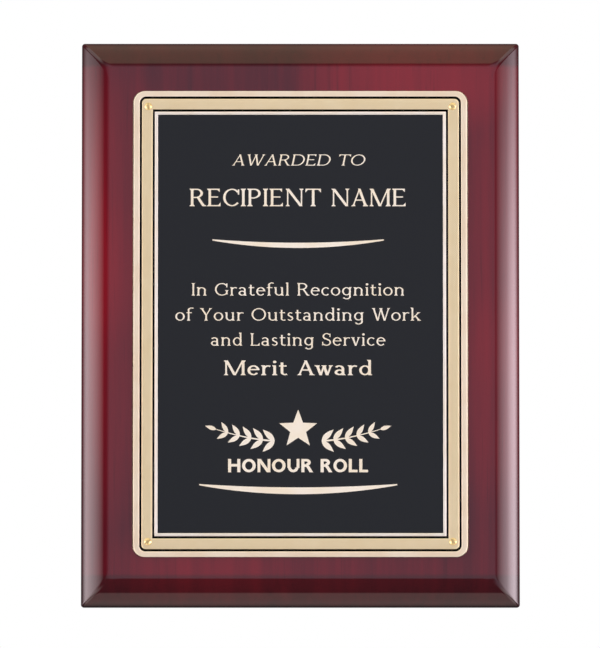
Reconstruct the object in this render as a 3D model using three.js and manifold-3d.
// Wall plaque: a veneered and lacquered board that carries an engraved brass plate.
// Units are millimetres. +Z is up, the front faces -Y, and the origin is the centre of the back.
import * as THREE from "three";
import { mergeVertices } from "three/addons/utils/BufferGeometryUtils.js";
import Module from "manifold-3d";

const wasm = await Module();
wasm.setup();

// Board
const BOARD_WIDTH = 177.5;
const BOARD_HEIGHT = 229;
const BOARD_THICKNESS = 16;
const VENEER = 0.6; // face and edge veneers, under their lacquer
const BACK_SHEET = 0.6;
const ROUND_INSET = 11.5; // width of the rounded edge, seen from the front
const ROUND_DEPTH = 9.5; // how far the rounded edge falls back from the face
const ROUND_STEPS = 12;

// Brass plate and the tape behind it
const PLATE_WIDTH = 135.5;
const PLATE_HEIGHT = 188.5;
const PLATE_THICKNESS = 0.6;
const PLATE_CORNER = 4.8;
const TAPE_WIDTH = 25;
const TAPE_LENGTH = 165;
const TAPE_THICKNESS = 0.25;
const TAPE_PITCH = 44;

// Slotted brass screws at the plate's corners
const PLATE_SCREW_EDGE = 6.2; // from the plate's edges to the screw's axis
const PLATE_SCREW_HEAD_RADIUS = 1.5;
const PLATE_SCREW_HEAD_HEIGHT = 0.85;
const PLATE_SCREW_SHANK_RADIUS = 0.7;
const PLATE_SCREW_LENGTH = 8;
const PLATE_SCREW_TIP = 1.2; // length of the cone at its point
const PLATE_SCREW_SLOT_WIDTH = 0.5;
const PLATE_SCREW_SLOT_DEPTH = 0.4;

// Keyhole hangers, let in flush with the back
const HANGER_LENGTH = 44;
const HANGER_WIDTH = 14;
const HANGER_THICKNESS = 1.6;
const HANGER_FROM_EDGE = 30; // from the board's edge to the hanger's centre
const HANGER_SCREW_REACH = 17.5; // from the hanger's centre to each of its screws
const KEYHOLE_ENTRY_RADIUS = 4.5;
const KEYHOLE_ENTRY_CENTRE = -5;
const KEYHOLE_SLOT_RADIUS = 2.1;
const KEYHOLE_SLOT_END = 6;
const POCKET_LENGTH = 22;
const POCKET_WIDTH = 11;
const POCKET_CENTRE = 0.5;
const POCKET_DEPTH = 5.5;

// Countersunk hanger screws
const HANGER_SCREW_HEAD_RADIUS = 2.5;
const HANGER_SCREW_HEAD_HEIGHT = 1.3;
const HANGER_SCREW_SHANK_RADIUS = 1.1;
const HANGER_SCREW_LENGTH = 9;
const HANGER_SCREW_TIP = 1.8;
const HANGER_SCREW_SLOT_WIDTH = 0.7;
const HANGER_SCREW_SLOT_DEPTH = 0.5;
const HANGER_SCREW_SUNK = 0.1; // the head's top lies this far below the hanger's face
const HANGER_SCREW_TURN = 0.6; // radians that each slot stands off the hanger's length

const FIT_GAP = 0.25; // clearance between a piece and the hole or recess it sits in
const OVERCUT = 1; // how far a cutting tool runs past the face it cuts
const ROUND_SIDES = 24; // sides of screws and of their holes
const ARC_STEPS = 10; // steps in each arc of an outline
const HEAD_STEPS = 6; // steps from the top to the rim of a round screw head
const WELD_DISTANCE = 1e-4; // corners closer than this count as one

const FACE_Y = -BOARD_THICKNESS;
const PLATE_BACK_Y = FACE_Y - TAPE_THICKNESS;
const PLATE_FRONT_Y = PLATE_BACK_Y - PLATE_THICKNESS;

const FINISHES = {
  rosewood: { color: 0x6b2b33, roughness: 0.12, metalness: 0 },
  mdf: { color: 0xa98a63, roughness: 0.9, metalness: 0 },
  backing: { color: 0x1f1c1b, roughness: 0.6, metalness: 0 },
  enamelledBrass: { color: 0x2b2e32, roughness: 0.35, metalness: 0.4 },
  brass: { color: 0xd8bd84, roughness: 0.25, metalness: 1 },
  steel: { color: 0xb4b6b8, roughness: 0.35, metalness: 1 },
  tape: { color: 0xe9e6dc, roughness: 0.95, metalness: 0 },
};

const plaque = new THREE.Group();

// ---- joining and cutting ----

function toSolid(geometry) {
  const bare = geometry.clone();
  bare.deleteAttribute("normal");
  bare.deleteAttribute("uv");
  const merged = mergeVertices(bare, WELD_DISTANCE);
  const mesh = new wasm.Mesh({
    numProp: 3,
    vertProperties: merged.attributes.position.array,
    triVerts: new Uint32Array(merged.index.array),
  });
  return new wasm.Manifold(mesh);
}

function toGeometry(solid) {
  const mesh = solid.getMesh();
  const indexed = new THREE.BufferGeometry();
  indexed.setAttribute("position", new THREE.BufferAttribute(mesh.vertProperties, 3));
  indexed.setIndex(new THREE.BufferAttribute(mesh.triVerts, 1));
  const geometry = indexed.toNonIndexed();
  geometry.computeVertexNormals();
  return geometry;
}

function cut(geometry, tools) {
  const solid = tools.reduce((body, tool) => body.subtract(toSolid(tool)), toSolid(geometry));
  return toGeometry(solid);
}

// ---- outlines and simple bodies ----

function rectangle(width, height) {
  const x = width / 2;
  const z = height / 2;
  const corners = [[-x, -z], [x, -z], [x, z], [-x, z]];
  return new THREE.Shape(corners.map((corner) => new THREE.Vector2(...corner)));
}

function roundedRectangle(width, height, radius) {
  const x = width / 2 - radius;
  const z = height / 2 - radius;
  const shape = new THREE.Shape();
  shape.absarc(x, z, radius, 0, Math.PI / 2);
  shape.absarc(-x, z, radius, Math.PI / 2, Math.PI);
  shape.absarc(-x, -z, radius, Math.PI, 1.5 * Math.PI);
  shape.absarc(x, -z, radius, 1.5 * Math.PI, 2 * Math.PI);
  return shape;
}

// A slot-shaped outline with round ends, standing upright about its centre.
function obround(length, width, centre = 0) {
  const radius = width / 2;
  const reach = length / 2 - radius;
  const shape = new THREE.Shape();
  shape.absarc(0, centre + reach, radius, 0, Math.PI);
  shape.absarc(0, centre - reach, radius, Math.PI, 2 * Math.PI);
  return shape;
}

// A plain sheet with the outline facing the front and its back at backY.
function sheet(outline, thickness, backY) {
  const options = { depth: thickness, bevelEnabled: false, curveSegments: ARC_STEPS };
  const geometry = new THREE.ExtrudeGeometry(outline, options);
  return geometry.rotateX(Math.PI / 2).translate(0, backY, 0);
}

// A straight round hole along Y between two depths.
function drill(radius, startY, endY, x, z) {
  const length = Math.abs(endY - startY);
  const geometry = new THREE.CylinderGeometry(radius, radius, length, ROUND_SIDES);
  return geometry.translate(x, (startY + endY) / 2, z);
}

function addPiece(name, geometry, finish) {
  const mesh = new THREE.Mesh(geometry, new THREE.MeshStandardMaterial(FINISHES[finish]));
  mesh.name = name;
  plaque.add(mesh);
  return mesh;
}

// ---- where things go ----

const plateScrews = [
  { name: "upper_left", x: -1, z: 1, turn: 1.5 },
  { name: "upper_right", x: 1, z: 1, turn: 0.45 },
  { name: "lower_left", x: -1, z: -1, turn: 2.5 },
  { name: "lower_right", x: 1, z: -1, turn: 0.9 },
].map((screw) => ({
  ...screw,
  x: screw.x * (PLATE_WIDTH / 2 - PLATE_SCREW_EDGE),
  z: screw.z * (PLATE_HEIGHT / 2 - PLATE_SCREW_EDGE),
}));

const hangers = [
  { name: "upper", x: 0, z: BOARD_HEIGHT / 2 - HANGER_FROM_EDGE, turn: 0 },
  { name: "side", x: BOARD_WIDTH / 2 - HANGER_FROM_EDGE, z: 0, turn: Math.PI / 2 },
];

function atHanger(geometry, hanger) {
  return geometry.rotateY(hanger.turn).translate(hanger.x, 0, hanger.z);
}

// ---- board ----

// The core's face is a rectangle whose edges roll back in a quarter ellipse. The bevel that the
// extrusion also makes at the back is cut off with everything behind the core.
function coreBlank() {
  const bevelThickness = ROUND_DEPTH - VENEER;
  const depth = BOARD_THICKNESS;
  const outline = rectangle(BOARD_WIDTH - 2 * ROUND_INSET, BOARD_HEIGHT - 2 * ROUND_INSET);
  const options = {
    depth,
    bevelThickness,
    bevelSize: ROUND_INSET - VENEER,
    bevelSegments: ROUND_STEPS,
  };
  const faceY = FACE_Y + VENEER;
  const rolled = new THREE.ExtrudeGeometry(outline, options);
  rolled.rotateX(Math.PI / 2).translate(0, faceY + depth + bevelThickness, 0);
  const behind = 2 * (depth + bevelThickness);
  const waste = new THREE.BoxGeometry(2 * BOARD_WIDTH, behind, 2 * BOARD_HEIGHT);
  waste.translate(0, behind / 2 - BACK_SHEET, 0);
  return cut(rolled, [waste]);
}

function plateScrewHoles() {
  const radius = PLATE_SCREW_SHANK_RADIUS + FIT_GAP;
  const endY = PLATE_FRONT_Y + PLATE_SCREW_LENGTH + FIT_GAP;
  return plateScrews.map(({ x, z }) => drill(radius, PLATE_FRONT_Y - OVERCUT, endY, x, z));
}

function hangerRecess(gap) {
  const outline = obround(HANGER_LENGTH + 2 * gap, HANGER_WIDTH + 2 * gap);
  return sheet(outline, HANGER_THICKNESS + OVERCUT, OVERCUT);
}

function hangerPocket() {
  const outline = obround(POCKET_LENGTH, POCKET_WIDTH, POCKET_CENTRE);
  return sheet(outline, HANGER_THICKNESS + POCKET_DEPTH + OVERCUT, OVERCUT);
}

function hangerScrewHoles() {
  const radius = HANGER_SCREW_SHANK_RADIUS + FIT_GAP;
  const endY = -HANGER_SCREW_SUNK - HANGER_SCREW_LENGTH - FIT_GAP;
  return [-1, 1].map((side) => drill(radius, OVERCUT, endY, 0, side * HANGER_SCREW_REACH));
}

function addCore() {
  const hangerCuts = hangers.flatMap((hanger) =>
    [hangerRecess(FIT_GAP), hangerPocket(), ...hangerScrewHoles()].map((tool) =>
      atHanger(tool, hanger),
    ),
  );
  addPiece("core_board", cut(coreBlank(), [...hangerCuts, ...plateScrewHoles()]), "mdf");
}

function addFaceVeneer() {
  const outline = rectangle(BOARD_WIDTH - 2 * ROUND_INSET, BOARD_HEIGHT - 2 * ROUND_INSET);
  const veneer = sheet(outline, VENEER, FACE_Y + VENEER);
  addPiece("face_veneer", cut(veneer, plateScrewHoles()), "rosewood");
}

// Points on the rounded edge, as [distance in from the side, distance back from the face].
function rolledEdge(thickness) {
  return Array.from({ length: ROUND_STEPS + 1 }, (_, step) => {
    const angle = (step / ROUND_STEPS) * (Math.PI / 2);
    const inset = ROUND_INSET - (ROUND_INSET - thickness) * Math.sin(angle);
    const back = ROUND_DEPTH - (ROUND_DEPTH - thickness) * Math.cos(angle);
    return new THREE.Vector2(inset, back);
  });
}

// One side's veneer: it covers the rounded edge and the side, and meets its neighbours in mitres.
function edgeVeneer(length, reach) {
  const outside = [...rolledEdge(0), new THREE.Vector2(0, BOARD_THICKNESS)];
  const inside = [new THREE.Vector2(VENEER, BOARD_THICKNESS), ...rolledEdge(VENEER).reverse()];
  const section = new THREE.Shape([...outside, ...inside]);
  const geometry = new THREE.ExtrudeGeometry(section, { depth: 1, bevelEnabled: false });
  const position = geometry.attributes.position;
  for (let i = 0; i < position.count; i += 1) {
    const inset = position.getX(i);
    const back = position.getY(i);
    const end = 2 * position.getZ(i) - 1;
    position.setXYZ(i, end * (length / 2 - inset), FACE_Y + back, reach - inset);
  }
  geometry.computeVertexNormals();
  return geometry;
}

function addEdgeVeneers() {
  ["top", "right", "bottom", "left"].forEach((side, quarter) => {
    const upright = quarter % 2 === 1;
    const length = upright ? BOARD_HEIGHT : BOARD_WIDTH;
    const reach = (upright ? BOARD_WIDTH : BOARD_HEIGHT) / 2;
    const mesh = addPiece(`edge_veneer_${side}`, edgeVeneer(length, reach), "rosewood");
    mesh.rotation.y = (quarter * Math.PI) / 2;
  });
}

function addBackSheet() {
  const outline = rectangle(BOARD_WIDTH - 2 * VENEER, BOARD_HEIGHT - 2 * VENEER);
  const windows = hangers.map((hanger) => atHanger(hangerRecess(FIT_GAP), hanger));
  addPiece("back_sheet", cut(sheet(outline, BACK_SHEET, 0), windows), "backing");
}

// ---- plate ----

function addPlate() {
  const outline = roundedRectangle(PLATE_WIDTH, PLATE_HEIGHT, PLATE_CORNER);
  const plate = sheet(outline, PLATE_THICKNESS, PLATE_BACK_Y);
  addPiece("engraving_plate", cut(plate, plateScrewHoles()), "enamelledBrass");
}

function addTapes() {
  ["left", "middle", "right"].forEach((side, index) => {
    const tape = sheet(rectangle(TAPE_WIDTH, TAPE_LENGTH), TAPE_THICKNESS, FACE_Y);
    addPiece(`plate_tape_${side}`, tape, "tape").position.x = (index - 1) * TAPE_PITCH;
  });
}

// A slotted round-head screw with its seat at y = 0, its head in front and its shank behind.
function plateScrew() {
  const headArc = Array.from({ length: HEAD_STEPS }, (_, step) => {
    const angle = (step / HEAD_STEPS) * (Math.PI / 2);
    const radius = PLATE_SCREW_HEAD_RADIUS * Math.sin(angle);
    return new THREE.Vector2(radius, -PLATE_SCREW_HEAD_HEIGHT * Math.cos(angle));
  });
  const profile = [
    ...headArc,
    new THREE.Vector2(PLATE_SCREW_HEAD_RADIUS, 0),
    new THREE.Vector2(PLATE_SCREW_SHANK_RADIUS, 0),
    new THREE.Vector2(PLATE_SCREW_SHANK_RADIUS, PLATE_SCREW_LENGTH - PLATE_SCREW_TIP),
    new THREE.Vector2(0, PLATE_SCREW_LENGTH),
  ];
  const turned = new THREE.LatheGeometry(profile, ROUND_SIDES);
  const slotLength = 2 * (PLATE_SCREW_HEAD_RADIUS + OVERCUT);
  const slot = new THREE.BoxGeometry(slotLength, 2 * PLATE_SCREW_SLOT_DEPTH, PLATE_SCREW_SLOT_WIDTH);
  slot.translate(0, -PLATE_SCREW_HEAD_HEIGHT, 0);
  return cut(turned, [slot]);
}

function addPlateScrews() {
  plateScrews.forEach(({ name, x, z, turn }) => {
    const mesh = addPiece(`plate_screw_${name}`, plateScrew(), "brass");
    mesh.position.set(x, PLATE_FRONT_Y, z);
    mesh.rotation.y = turn;
  });
}

// ---- hangers ----

function keyhole() {
  const mouth = Math.acos(KEYHOLE_SLOT_RADIUS / KEYHOLE_ENTRY_RADIUS);
  const path = new THREE.Path();
  path.absarc(0, KEYHOLE_ENTRY_CENTRE, KEYHOLE_ENTRY_RADIUS, mouth, Math.PI - mouth, true);
  path.absarc(0, KEYHOLE_SLOT_END, KEYHOLE_SLOT_RADIUS, Math.PI, 0, true);
  return path;
}

// The widening of a screw hole that lets the countersunk head lie below the hanger's face.
function countersink(z) {
  const outer = HANGER_SCREW_HEAD_RADIUS + FIT_GAP;
  const inner = HANGER_SCREW_SHANK_RADIUS + FIT_GAP;
  const profile = [
    new THREE.Vector2(0, -HANGER_THICKNESS - OVERCUT),
    new THREE.Vector2(inner, -HANGER_THICKNESS - OVERCUT),
    new THREE.Vector2(inner, -HANGER_SCREW_SUNK - HANGER_SCREW_HEAD_HEIGHT),
    new THREE.Vector2(outer, -HANGER_SCREW_SUNK),
    new THREE.Vector2(outer, OVERCUT),
    new THREE.Vector2(0, OVERCUT),
  ];
  return new THREE.LatheGeometry(profile, ROUND_SIDES).translate(0, 0, z);
}

function hangerPlate() {
  const outline = obround(HANGER_LENGTH, HANGER_WIDTH);
  outline.holes.push(keyhole());
  const sinks = [-1, 1].map((side) => countersink(side * HANGER_SCREW_REACH));
  return cut(sheet(outline, HANGER_THICKNESS, 0), sinks);
}

// A countersunk screw with the top of its head at y = 0 and its point towards the front.
function hangerScrew() {
  const profile = [
    new THREE.Vector2(0, -HANGER_SCREW_LENGTH),
    new THREE.Vector2(HANGER_SCREW_SHANK_RADIUS, HANGER_SCREW_TIP - HANGER_SCREW_LENGTH),
    new THREE.Vector2(HANGER_SCREW_SHANK_RADIUS, -HANGER_SCREW_HEAD_HEIGHT),
    new THREE.Vector2(HANGER_SCREW_HEAD_RADIUS, 0),
    new THREE.Vector2(0, 0),
  ];
  const turned = new THREE.LatheGeometry(profile, ROUND_SIDES);
  const slotLength = 2 * (HANGER_SCREW_HEAD_RADIUS + OVERCUT);
  const slotDepth = 2 * HANGER_SCREW_SLOT_DEPTH;
  const slot = new THREE.BoxGeometry(slotLength, slotDepth, HANGER_SCREW_SLOT_WIDTH);
  return cut(turned, [slot]);
}

function addHangers() {
  hangers.forEach(({ name, x, z, turn }) => {
    const mount = new THREE.Group();
    mount.position.set(x, 0, z);
    mount.rotation.y = turn;
    plaque.add(mount);
    mount.add(addPiece(`${name}_keyhole_hanger`, hangerPlate(), "steel"));
    [-1, 1].forEach((side) => {
      const end = side > 0 ? "outer" : "inner";
      const screw = addPiece(`${name}_hanger_screw_${end}`, hangerScrew(), "steel");
      screw.position.set(0, -HANGER_SCREW_SUNK, side * HANGER_SCREW_REACH);
      screw.rotation.y = side * HANGER_SCREW_TURN;
      mount.add(screw);
    });
  });
}

addCore();
addFaceVeneer();
addEdgeVeneers();
addBackSheet();
addTapes();
addPlate();
addPlateScrews();
addHangers();

export default plaque;
